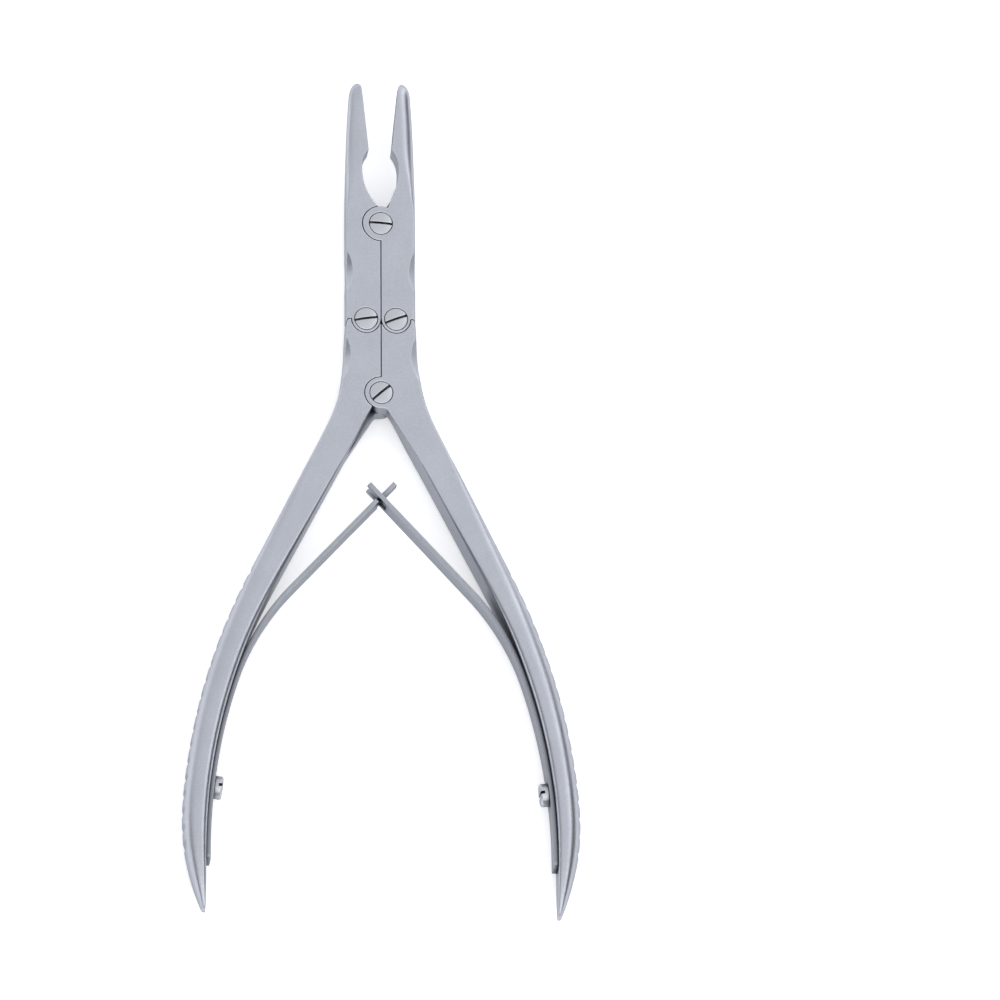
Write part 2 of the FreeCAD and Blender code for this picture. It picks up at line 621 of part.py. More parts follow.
def jaw(lug_in_front):
    """A left-hand jaw whose lug at the jaw pivot is in front or at the back."""
    solid = jaw_blank()
    solid = solid.cut(both_faces(face_grind()))
    scoop_y = JAW_PIVOT_Y - JAW_SCOOP_DROP
    solid = solid.cut(both_faces(scoop(jaw_outer_x(-JAW_SCOOP_DROP), scoop_y, 0)))
    seam_top = JAW_PIVOT_Y + JAW_LUG_RADIUS + 1
    solid = solid.cut(block(-HALF_SEAM, 20, 0, seam_top, -GRIP_WIDTH, GRIP_WIDTH))
    solid = solid.cut([bite_room(), cup(), lug_runout(lug_in_front)])
    room_low, room_high = room_span(not lug_in_front)
    recess = disc(JAW_PIVOT, JAW_LUG_RADIUS + LUG_CLEARANCE, room_low, room_high)
    solid = recess_side(solid.cut(recess), -1, False)
    solid = lug_side(solid, -1, True)
    solid = solid.fuse(disc(JAW_PIVOT, JAW_LUG_RADIUS, *layer_span(lug_in_front)))
    if lug_in_front:
        pivot_hole = screw_seat(JAW_PIVOT, JAW_RUNNING_GAP)
    else:
        pivot_hole = thread_hole(JAW_PIVOT)
    return solid.cut([pivot_hole, screw_seat(LEFT_LINK, RUNNING_GAP)])


def turned_outline(points):
    """Corners and straight edges of a turned piece's outline, from radii and heights."""
    outline = [FreeCAD.Vector(radius, 0, height) for radius, height in points]
    edges = [line(outline[index], outline[index + 1]) for index in range(len(outline) - 1)]
    return outline, edges


def pivot_screw(centre, slot_angle):
    """Slotted screw whose domed head is flush with the block's front face."""
    seat_z = HALF_BLOCK - HEAD_HEIGHT
    outline, edges = turned_outline([
        (0, -HALF_BLOCK),
        (SHANK_RADIUS - SCREW_END_CHAMFER, -HALF_BLOCK),
        (SHANK_RADIUS, -HALF_BLOCK + SCREW_END_CHAMFER),
        (SHANK_RADIUS, seat_z),
        (HEAD_RADIUS, seat_z),
        (HEAD_RADIUS, HALF_BLOCK),
    ])
    top = FreeCAD.Vector(0, 0, HALF_BLOCK + HEAD_DOME)
    dome_radius = (HEAD_RADIUS ** 2 + HEAD_DOME ** 2) / (2 * HEAD_DOME)
    half_angle = math.asin(HEAD_RADIUS / dome_radius) / 2
    middle = FreeCAD.Vector(
        dome_radius * math.sin(half_angle), 0, top.z - dome_radius * (1 - math.cos(half_angle))
    )
    edges += [arc(outline[-1], middle, top), line(top, outline[0])]
    solid = Part.Face(Part.Wire(edges)).revolve(FreeCAD.Vector(0, 0, 0), Z_AXIS, 360)
    slot_floor = HALF_BLOCK + HEAD_DOME - SLOT_DEPTH
    slot = block(-4, 4, -SLOT_WIDTH / 2, SLOT_WIDTH / 2, slot_floor, HALF_BLOCK + 2)
    slot.rotate(FreeCAD.Vector(0, 0, 0), Z_AXIS, slot_angle)
    solid = solid.cut(slot)
    solid.translate(centre)
    return solid


def spring_screw():
    """Slotted cheese-head screw of the left spring, its slot across the grip."""
    head_floor = SPRING_SEAT_GAP + SPRING_THICKNESS + SPRING_SEAT_GAP
    head_top = head_floor + SPRING_SCREW_HEAD_HEIGHT
    outline, edges = turned_outline([
        (0, -SPRING_SCREW_DEPTH),
        (SPRING_SCREW_RADIUS - SCREW_END_CHAMFER, -SPRING_SCREW_DEPTH),
        (SPRING_SCREW_RADIUS, -SPRING_SCREW_DEPTH + SCREW_END_CHAMFER),
        (SPRING_SCREW_RADIUS, head_floor),
        (SPRING_SCREW_HEAD_RADIUS, head_floor),
        (SPRING_SCREW_HEAD_RADIUS, head_top - HEAD_EDGE_ROUND),
        (SPRING_SCREW_HEAD_RADIUS - HEAD_EDGE_ROUND, head_top),
        (0, head_top),
    ])
    edges.append(line(outline[-1], outline[0]))
    solid = Part.Face(Part.Wire(edges)).revolve(FreeCAD.Vector(0, 0, 0), Z_AXIS, 360)
    slot_floor = head_top - SPRING_SCREW_SLOT_DEPTH
    half_slot = SPRING_SCREW_SLOT_WIDTH / 2
    solid = solid.cut(block(-5, 5, -half_slot, half_slot, slot_floor, head_top + 1))
    # The screw's own axis is Z here and its slot lies along X: X becomes the model's Z
    point, direction = spring_screw_line()
    across = direction.cross(Z_AXIS)
    turn = FreeCAD.Matrix(
        0, across.x, direction.x, point.x,
        0, across.y, direction.y, point.y,
        1, across.z, direction.z, point.z,
        0, 0, 0, 1,
    )
    return solid.transformGeometry(turn)


def walk(start, heading, moves, offset):
    """Edges of a path of straight runs and right-hand bends, moved sideways to its right.

    heading is the angle from +Y towards +X in degrees. A move is a length and a turn in degrees:
    the length is a run where the turn is 0, and the bend's radius where it isn't.
    """
    edges = []
    point = start
    for size, turn in moves:
        angle = math.radians(heading)
        forward = FreeCAD.Vector(math.sin(angle), math.cos(angle), 0)
        right = FreeCAD.Vector(math.cos(angle), -math.sin(angle), 0)
        here = point + right * offset
        if turn == 0:
            point = point + forward * size
            edges.append(line(here, point + right * offset))
        else:
            centre = point + right * size
            half = math.radians(turn / 2)
            out = right * -1
            middle_out = out * math.cos(half) + forward * math.sin(half)
            full_out = out * math.cos(2 * half) + forward * math.sin(2 * half)
            edges.append(
                arc(here, centre + middle_out * (size - offset), centre + full_out * (size - offset))
            )
            point = centre + full_out * size
            heading += turn
    return edges


def crossing():
    """Where the two springs cross, and the length of a spring's straight run up to there."""
    lean = math.radians(SPRING_LEAN)
    leave = math.radians(SPRING_LEAVE_LEAN)
    leave_y = GRIP_PARALLEL_Y + GRIP_BOW_RADIUS * math.sin(leave)
    leave_x = inner_face_x(leave_y)
    bend_x = leave_x + SPRING_BEND_RADIUS * (math.cos(leave) - math.cos(lean))
    bend_y = leave_y + SPRING_BEND_RADIUS * (math.sin(lean) - math.sin(leave))
    middle = SPRING_SEAT_GAP + SPRING_THICKNESS / 2
    middle_x = bend_x + middle * math.cos(lean)
    middle_y = bend_y - middle * math.sin(lean)
    run = -middle_x / math.sin(lean)
    return FreeCAD.Vector(0, middle_y + run * math.cos(lean), 0), run


def spring(forked):
    """A left-hand leaf spring that ends in a tongue or in a fork."""
    cross_point, run = crossing()
    overhang = FORK_OVERHANG if forked else TONGUE_OVERHANG
    # The seated end follows the grip's face, straight below GRIP_PARALLEL_Y and bowed above it
    end_lean = math.degrees(inner_lean(SPRING_END_Y))
    moves = [
        (GRIP_BOW_RADIUS, SPRING_LEAVE_LEAN - end_lean),
        (SPRING_BEND_RADIUS, SPRING_LEAN - SPRING_LEAVE_LEAN),
        (run + overhang, 0),
    ]
    if SPRING_END_Y < GRIP_PARALLEL_Y:
        moves.insert(0, (GRIP_PARALLEL_Y - SPRING_END_Y, 0))
    start = FreeCAD.Vector(inner_face_x(SPRING_END_Y), SPRING_END_Y, 0)
    outer = walk(start, end_lean, moves, SPRING_SEAT_GAP)
    inner = walk(start, end_lean, moves, SPRING_SEAT_GAP + SPRING_THICKNESS)
    ends = [
        line(outer[0].Vertexes[0].Point, inner[0].Vertexes[0].Point),
        line(outer[-1].Vertexes[-1].Point, inner[-1].Vertexes[-1].Point),
    ]
    strip = Part.Face(Part.Wire(Part.__sortEdges__(outer + inner + ends)))
    solid = strip.extrude(FreeCAD.Vector(0, 0, SPRING_WIDTH))
    solid.translate(FreeCAD.Vector(0, 0, -SPRING_WIDTH / 2))

    # Front-to-back outline, seen along X
    half = SPRING_WIDTH / 2
    top_half = SPRING_TOP_WIDTH / 2
    top_y = cross_point.y + 10
    outline = [
        (SPRING_END_Y, half - SPRING_END_ROUND),
        (SPRING_END_Y + SPRING_END_ROUND, half),
        (SPRING_SCREW_Y + SPRING_SCREW_HEAD_RADIUS, half),
        (cross_point.y, top_half),
        (top_y, top_half),
    ]
    outline += [(y, -z) for y, z in reversed(outline)]
    points = [FreeCAD.Vector(-FAR, y, z) for y, z in outline]
    side = Part.Face(Part.makePolygon(points + [points[0]])).extrude(FreeCAD.Vector(2 * FAR, 0, 0))
    solid = solid.common(side)

    tools = []
    if forked:
        low = -FORK_SLOT_DEPTH
        tools.append(block(-2, 2, low, 20, -FORK_SLOT_WIDTH / 2, FORK_SLOT_WIDTH / 2))
    else:
        low = -TONGUE_SHOULDER
        for z_low, z_high in ((-10, -TONGUE_WIDTH / 2), (TONGUE_WIDTH / 2, 10)):
            tools.append(block(-2, 2, low, 20, z_low, z_high))
    for tool in tools:
        tool.rotate(FreeCAD.Vector(0, 0, 0), Z_AXIS, -SPRING_LEAN)
        tool.translate(cross_point)
    point, direction = spring_screw_line()
    hole = Part.makeCylinder(SPRING_SCREW_RADIUS + SPRING_HOLE_GAP, 6, point - direction * 3, direction)
    return solid.cut(tools + [hole])


def write(node, shape):
    """Move a piece to the model's frame and write it."""
    shape.translate(FRAME_SHIFT)
    shape.exportStep("parts/" + node + ".step")
    print(node, len(shape.Solids), round(shape.Volume, 2), shape.isValid())


os.makedirs("parts", exist_ok=True)
write("left_handle", handle(False))
write("right_handle", mirrored(handle(True)))
write("left_jaw", jaw(False))
write("right_jaw", mirrored(jaw(True)))
write("handle_pivot_screw", pivot_screw(HANDLE_PIVOT, HANDLE_SLOT_ANGLE))
write("left_link_screw", pivot_screw(LEFT_LINK, LEFT_LINK_SLOT_ANGLE))
write("right_link_screw", pivot_screw(RIGHT_LINK, RIGHT_LINK_SLOT_ANGLE))
write("jaw_pivot_screw", pivot_screw(JAW_PIVOT, JAW_SLOT_ANGLE))
write("left_spring", spring(False))
write("right_spring", mirrored(spring(True)))
write("left_spring_screw", spring_screw())
write("right_spring_screw", mirrored(spring_screw()))
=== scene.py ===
"""Bone rongeur in satin stainless steel: finishes, leaf springs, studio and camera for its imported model."""

import json
import logging
import math
from dataclasses import dataclass, field
from enum import Enum
from typing import ClassVar

import bmesh
import bpy
from mathutils import Matrix, Vector

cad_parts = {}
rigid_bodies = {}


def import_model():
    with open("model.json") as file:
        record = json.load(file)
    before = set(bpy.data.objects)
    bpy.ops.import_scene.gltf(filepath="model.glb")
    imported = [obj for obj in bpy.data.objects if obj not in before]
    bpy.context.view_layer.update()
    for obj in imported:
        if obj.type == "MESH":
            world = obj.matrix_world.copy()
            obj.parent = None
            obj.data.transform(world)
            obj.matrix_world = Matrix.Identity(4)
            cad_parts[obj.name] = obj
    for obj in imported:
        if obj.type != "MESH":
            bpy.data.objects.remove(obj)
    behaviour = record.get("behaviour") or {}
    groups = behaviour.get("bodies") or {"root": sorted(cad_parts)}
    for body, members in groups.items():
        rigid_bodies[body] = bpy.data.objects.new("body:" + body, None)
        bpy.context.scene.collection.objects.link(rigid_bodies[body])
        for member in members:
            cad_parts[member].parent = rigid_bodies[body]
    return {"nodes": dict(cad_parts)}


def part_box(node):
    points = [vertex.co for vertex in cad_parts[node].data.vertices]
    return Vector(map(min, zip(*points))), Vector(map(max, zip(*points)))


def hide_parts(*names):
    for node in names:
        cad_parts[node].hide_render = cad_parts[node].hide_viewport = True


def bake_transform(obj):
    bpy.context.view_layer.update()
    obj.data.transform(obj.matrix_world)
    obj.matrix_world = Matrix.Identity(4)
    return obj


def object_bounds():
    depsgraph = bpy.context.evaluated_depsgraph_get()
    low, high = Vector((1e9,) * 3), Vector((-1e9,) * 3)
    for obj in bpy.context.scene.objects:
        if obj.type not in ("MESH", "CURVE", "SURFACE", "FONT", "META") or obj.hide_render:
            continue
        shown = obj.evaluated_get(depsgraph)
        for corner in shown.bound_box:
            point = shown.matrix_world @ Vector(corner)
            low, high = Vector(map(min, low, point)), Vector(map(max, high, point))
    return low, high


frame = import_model()
CAD_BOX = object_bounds()

MM = 0.001
log = logging.getLogger("rongeur")

Tree = bpy.types.NodeTree
Socket = bpy.types.NodeSocket


@dataclass(frozen=True)
class EndShape:
    """Free end of a leaf spring. Lengths are in millimetres.

    Attributes:
        strip_width: Width of the middle strip, which is the tongue or the slot between the tines.
        shoulder: Distance from the shoulder, or the bottom of the slot, to the crossing.
        overhang: Length past the crossing.
        keeps_middle: Whether the middle strip goes on past the shoulder, and not the outer two.
    """

    strip_width: float
    shoulder: float
    overhang: float
    keeps_middle: bool


class SpringEnd(Enum):
    """Shape of a leaf spring's free end."""

    TONGUE = EndShape(strip_width=2.0, shoulder=1.2, overhang=4.4, keeps_middle=True)
    FORK = EndShape(strip_width=2.5, shoulder=2.2, overhang=3.6, keeps_middle=False)


class Side(Enum):
    """Half of the rongeur, with the sign of its x."""

    LEFT = -1
    RIGHT = 1

    @property
    def word(self) -> str:
        """Name of the side as the pieces use it."""
        return self.name.lower()

    @property
    def other(self) -> "Side":
        """The opposite half."""
        return Side(-self.value)


class Marks(Enum):
    """Marks that a process leaves on steel."""

    BLASTED = "even grain from glass beads"
    GROUND = "lines along the blade"
    TURNED = "rings about the axis"


def srgb(code: str) -> tuple[float, float, float, float]:
    """Turn a colour to linear light.

    Args:
        code: sRGB colour as six hex digits.

    Returns:
        Linear red, green and blue, with an alpha of 1.
    """
    shares = [int(code[start:start + 2], 16) / 255 for start in (0, 2, 4)]
    linear = [share / 12.92 if share <= 0.04045 else ((share + 0.055) / 1.055) ** 2.4 for share in shares]
    return (*linear, 1.0)


def add_node(
    tree: Tree,
    kind: str,
    settings: dict[str, object] | None = None,
    inputs: dict[str | int, object] | None = None,
) -> bpy.types.Node:
    """Add one node to a tree.

    Args:
        tree: Tree that takes the node.
        kind: Type of the node.
        settings: Properties of the node and their values.
        inputs: Sockets by name or number, each with its value or with the socket that drives it.

    Returns:
        The new node.
    """
    node = tree.nodes.new(kind)
    for name, value in (settings or {}).items():
        setattr(node, name, value)
    for key, value in (inputs or {}).items():
        if isinstance(value, Socket):
            tree.links.new(value, node.inputs[key])
        else:
            node.inputs[key].default_value = value
    return node


def empty_material(name: str) -> bpy.types.Material:
    """Make a material whose tree has no nodes.

    Args:
        name: Name of the material.

    Returns:
        The new material.
    """
    material = bpy.data.materials.new(name)
    material.use_nodes = True
    material.node_tree.nodes.clear()
    return material


def paint(node: str, material: bpy.types.Material) -> None:
    """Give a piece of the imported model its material."""
    for slot in frame["nodes"][node].material_slots:
        slot.material = material


def deselect_all() -> None:
    """Leave no object selected."""
    for thing in bpy.context.view_layer.objects:
        thing.select_set(False)


def clear_mesh_selection(mesh: bmesh.types.BMesh) -> None:
    """Deselect every part of a mesh in edit mode."""
    for part in (*mesh.faces, *mesh.edges, *mesh.verts):
        part.select = False


@dataclass(frozen=True)
class SteelFinish:
    """Stainless steel as one process leaves it.

    Attributes:
        name: Name of the material.
        colour: Clean surface, as sRGB hex.
        cloud_colour: The same where handling has dulled it.
        wear_highlight_colour: Edges that hands and cloths have polished, lighter as a painted highlight.
        painted_shade_colour: Painted shade in corners, joints and the bottoms of the marks.
        roughness: Roughness of the clean surface.
        worn_roughness: Roughness of the polished edges.
        marks: Marks of the process.
        mark_spacing: Distance between marks, in millimetres.
        mark_depth: Depth of the marks, in millimetres.
        edge_radius: Radius to which an edge looks broken, in millimetres.
        recess_reach: Distance over which a recess gets painted shade, in millimetres.
        grazing_colour: Tint of the reflection at a grazing angle, as sRGB hex.
        pit_darkness: Share of the painted shade colour at the bottom of the marks.
    """

    name: str
    colour: str
    cloud_colour: str
    wear_highlight_colour: str
    painted_shade_colour: str
    roughness: float
    worn_roughness: float
    marks: Marks
    mark_spacing: float
    mark_depth: float
    edge_radius: float = 0.12
    recess_reach: float = 1.0
    grazing_colour: str = "C2C4C8"
    pit_darkness: float = 0.14

    # Clouds of handling, and how far they lower and raise the roughness
    CLOUDS_PER_MM: ClassVar[float] = 0.11
    CLOUD_SPAN: ClassVar[tuple[float, float]] = (0.3, 0.7)
    CLOUD_DULLING: ClassVar[tuple[float, float]] = (-0.03, 0.04)
    # Height of the marks from which painted shade darkens them, and where it is darkest
    PIT_SPAN: ClassVar[tuple[float, float]] = (0.6, 0.35)
    # Agreement of the broken edge's normal with the flat face's, and the polish and painted highlight that
    # follow from it
    EDGE_SPAN: ClassVar[tuple[float, float]] = (0.995, 0.9)
    EDGE_POLISH_AND_HIGHLIGHT: ClassVar[float] = 0.8
    # Share of open air from which painted shade sets in, and where it is darkest
    RECESS_SHADE_SPAN: ClassVar[tuple[float, float]] = (0.95, 0.35)
    # Ground lines are longer than wide
    LINE_SHORTENING: ClassVar[float] = 0.04
    EDGE_SAMPLES: ClassVar[int] = 6
    AIR_SAMPLES: ClassVar[int] = 8

    def build(self, suffix: str = "", axis: Vector = Vector()) -> bpy.types.Material:
        """Make the material.

        Args:
            suffix: Added to the name, for a piece with its own pattern centre.
            axis: Point on the axis of turned marks, in metres.

        Returns:
            The new material.
        """
        material = empty_material(self.name + suffix)
        tree = material.node_tree
        in_mm = self.place_in_mm(tree, axis)
        marks = self.mark_pattern(tree, in_mm)
        clouds = add_node(
            tree,
            "ShaderNodeTexNoise",
            inputs={"Vector": in_mm, "Scale": self.CLOUDS_PER_MM, "Detail": 3.0, "Roughness": 0.55},
        ).outputs["Fac"]
        soft_edge = add_node(
            tree, "ShaderNodeBevel", {"samples": self.EDGE_SAMPLES}, {"Radius": self.edge_radius * MM}
        ).outputs["Normal"]
        open_air = add_node(
            tree,
            "ShaderNodeAmbientOcclusion",
            {"samples": self.AIR_SAMPLES},
            {"Distance": self.recess_reach * MM},
        ).outputs["AO"]
        # Polish on the outer edges, whose lighter colour is a painted highlight
        wear_and_highlight = self.wear_and_highlight_share(tree, soft_edge, open_air)
        dulled = add_node(
            tree,
            "ShaderNodeMapRange",
            inputs={
                "Value": clouds,
                "From Min": self.CLOUD_SPAN[0],
                "From Max": self.CLOUD_SPAN[1],
                "To Min": self.roughness + self.CLOUD_DULLING[0],
                "To Max": self.roughness + self.CLOUD_DULLING[1],
            },
        ).outputs["Result"]
        roughness = add_node(
            tree, "ShaderNodeMix", inputs={0: wear_and_highlight, 2: dulled, 3: self.worn_roughness}
        ).outputs[0]
        bump = add_node(
            tree,
            "ShaderNodeBump",
            inputs={
                "Strength": 1.0,
                "Distance": self.mark_depth * MM,
                "Height": marks,
                "Normal": soft_edge,
            },
        ).outputs["Normal"]
        steel = add_node(
            tree,
            "ShaderNodeBsdfPrincipled",
            inputs={
                "Base Color": self.surface_colour(tree, marks, clouds, wear_and_highlight, open_air),
                "Metallic": 1.0,
                "Roughness": roughness,
                "Specular Tint": srgb(self.grazing_colour),
                "Normal": bump,
            },
        )
        add_node(tree, "ShaderNodeOutputMaterial", inputs={"Surface": steel.outputs["BSDF"]})
        return material

    def place_in_mm(self, tree: Tree, axis: Vector) -> Socket:
        """Place on the piece, in millimetres from a point.

        Args:
            tree: Tree of the material.
            axis: The point, in metres.

        Returns:
            Socket with the place.
        """
        place = add_node(tree, "ShaderNodeTexCoord").outputs["Object"]
        centred = add_node(
            tree, "ShaderNodeVectorMath", {"operation": "SUBTRACT"}, {0: place, 1: axis}
        ).outputs["Vector"]
        return add_node(
            tree, "ShaderNodeMapping", inputs={"Vector": centred, "Scale": (1 / MM,) * 3}
        ).outputs["Vector"]

    def mark_pattern(self, tree: Tree, in_mm: Socket) -> Socket:
        """Height of the marks.

        Args:
            tree: Tree of the material.
            in_mm: Place on the piece, in millimetres.

        Returns:
            Socket with the height, from 0 to 1.
        """
        if self.marks is Marks.TURNED:
            # A ring texture repeats after 2 pi / 20 of its own units
            rings = {"wave_type": "RINGS", "rings_direction": "Z", "wave_profile": "SIN"}
            scale = math.tau / 20 / self.mark_spacing
            return add_node(
                tree,
                "ShaderNodeTexWave",
                rings,
                {"Vector": in_mm, "Scale": scale, "Distortion": 0.6, "Detail": 2.0, "Detail Scale": 1.5},
            ).outputs["Fac"]
        if self.marks is Marks.GROUND:
            in_mm = add_node(
                tree,
                "ShaderNodeMapping",
                inputs={"Vector": in_mm, "Scale": (1.0, self.LINE_SHORTENING, 1.0)},
            ).outputs["Vector"]
        return add_node(
            tree,
            "ShaderNodeTexNoise",
            inputs={"Vector": in_mm, "Scale": 1 / self.mark_spacing, "Detail": 3.0, "Roughness": 0.6},
        ).outputs["Fac"]

    def wear_and_highlight_share(self, tree: Tree, soft_edge: Socket, open_air: Socket) -> Socket:
        """Share of polish and painted highlight, which follows the outer edges.

        Args:
            tree: Tree of the material.
            soft_edge: Normal with the edges broken.
            open_air: Share of open air over the surface.

        Returns:
            Socket with the share, from 0 to 1.
        """
        flat = add_node(tree, "ShaderNodeNewGeometry").outputs["Normal"]
        same = add_node(
            tree, "ShaderNodeVectorMath", {"operation": "DOT_PRODUCT"}, {0: soft_edge, 1: flat}
        ).outputs["Value"]
        edge = add_node(
            tree,
            "ShaderNodeMapRange",
            inputs={
                "Value": same,
                "From Min": self.EDGE_SPAN[0],
                "From Max": self.EDGE_SPAN[1],
                "To Max": self.EDGE_POLISH_AND_HIGHLIGHT,
            },
        ).outputs["Result"]
        return add_node(
            tree, "ShaderNodeMath", {"operation": "MULTIPLY"}, {0: edge, 1: open_air}
        ).outputs["Value"]

    def surface_colour(
        self, tree: Tree, marks: Socket, clouds: Socket, wear_and_highlight: Socket, open_air: Socket
    ) -> Socket:
        """Colour with its clouds, painted shade in the marks and recesses, and polished edges with a painted
        highlight.

        Args:
            tree: Tree of the material.
            marks: Height of the marks.
            clouds: Pattern of the clouds.
            wear_and_highlight: Share of polish and painted highlight.
            open_air: Share of open air over the surface.

        Returns:
            Socket with the colour.
        """
        # Painted shade at the bottoms of the marks and in recesses that see little open air
        pit_painted_shade, recess_painted_shade = (
            add_node(
                tree,
                "ShaderNodeMapRange",
                inputs={"Value": value, "From Min": start, "From Max": end, "To Max": most},
            ).outputs["Result"]
            for value, (start, end), most in (
                (marks, self.PIT_SPAN, self.pit_darkness),
                (open_air, self.RECESS_SHADE_SPAN, 1.0),
            )
        )
        colour = srgb(self.colour)
        layers = (
            (clouds, self.cloud_colour),
            (pit_painted_shade, self.painted_shade_colour),
            (wear_and_highlight, self.wear_highlight_colour),
            (recess_painted_shade, self.painted_shade_colour),
        )
        for share, layer_colour in layers:
            # The colours of a mix node are its inputs 6 and 7 and its output 2
            colour = add_node(
                tree, "ShaderNodeMix", {"data_type": "RGBA"}, {0: share, 6: colour, 7: srgb(layer_colour)}
            ).outputs[2]
        return colour


# Forged stainless steel, blasted with glass beads: an even bluish grey with fine grain and without a clear
# reflection. The real grain is about 0.05 mm, too fine for the picture, so it is drawn at 0.22 mm.
SATIN_STEEL = SteelFinish(
    name="satin_stainless_steel_bead_blasted",
    colour="BCBFC6",
    cloud_colour="ADB0B7",
    wear_highlight_colour="CDD1D8",
    painted_shade_colour="3E4146",
    roughness=0.34,
    worn_roughness=0.27,
    marks=Marks.BLASTED,
    mark_spacing=0.22,
    mark_depth=0.008,
    edge_radius=0.4,
    recess_reach=2.5,
)

# Stainless screws turned on a lathe: a little brighter and less blue, with rings about the axis.
# The tool's feed is about 0.08 mm and is drawn at 0.28 mm.
SCREW_STEEL = SteelFinish(
    name="turned_stainless_steel_screw",
    colour="C3C5C9",
    cloud_colour="B5B8BD",
    wear_highlight_colour="DCDEE2",
    painted_shade_colour="2E3034",
    roughness=0.34,
    worn_roughness=0.26,
    marks=Marks.TURNED,
    mark_spacing=0.28,
    mark_depth=0.007,
    edge_radius=0.3,
)

# Cold-rolled spring strip, ground lengthwise: a darker, glossier grey with fine lines along the blade.
# The lines are about 0.03 mm apart and are drawn at 0.16 mm.
SPRING_STEEL = SteelFinish(
    name="ground_stainless_spring_strip",
    colour="A8ABB1",
    cloud_colour="9DA1A8",
    wear_highlight_colour="C4C8CE",
    painted_shade_colour="3A3D42",
    roughness=0.32,
    worn_roughness=0.25,
    marks=Marks.GROUND,
    mark_spacing=0.16,
    mark_depth=0.003,
    edge_radius=0.2,
    recess_reach=3.0,
)


@dataclass
class ForgedParts:
    """The two jaws and the two handles, whose shapes come with the model.

    Attributes:
        finish: Finish of all four.
        nodes: Their names.
    """

    finish: SteelFinish = SATIN_STEEL
    nodes: tuple[str, ...] = ("left_handle", "right_handle", "left_jaw", "right_jaw")

    def dress(self) -> None:
        """Give the pieces their steel."""
        material = self.finish.build()
        for node in self.nodes:
            paint(node, material)
            log.info("%s: %s", node, self.finish.name)


@dataclass
class Screws:
    """The four pivot screws and the two spring screws, whose shapes come with the model.

    Attributes:
        finish: Finish of all six.
        nodes: Their names.
    """

    finish: SteelFinish = SCREW_STEEL
    nodes: tuple[str, ...] = (
        "jaw_pivot_screw",
        "left_link_screw",
        "right_link_screw",
        "handle_pivot_screw",
        "left_spring_screw",
        "right_spring_screw",
    )

    def dress(self) -> None:
        """Give each screw steel with rings about its own middle."""
        for node in self.nodes:
            low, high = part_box(node)
            paint(node, self.finish.build("_" + node, (low + high) / 2))
            log.info("%s: %s", node, self.finish.name)


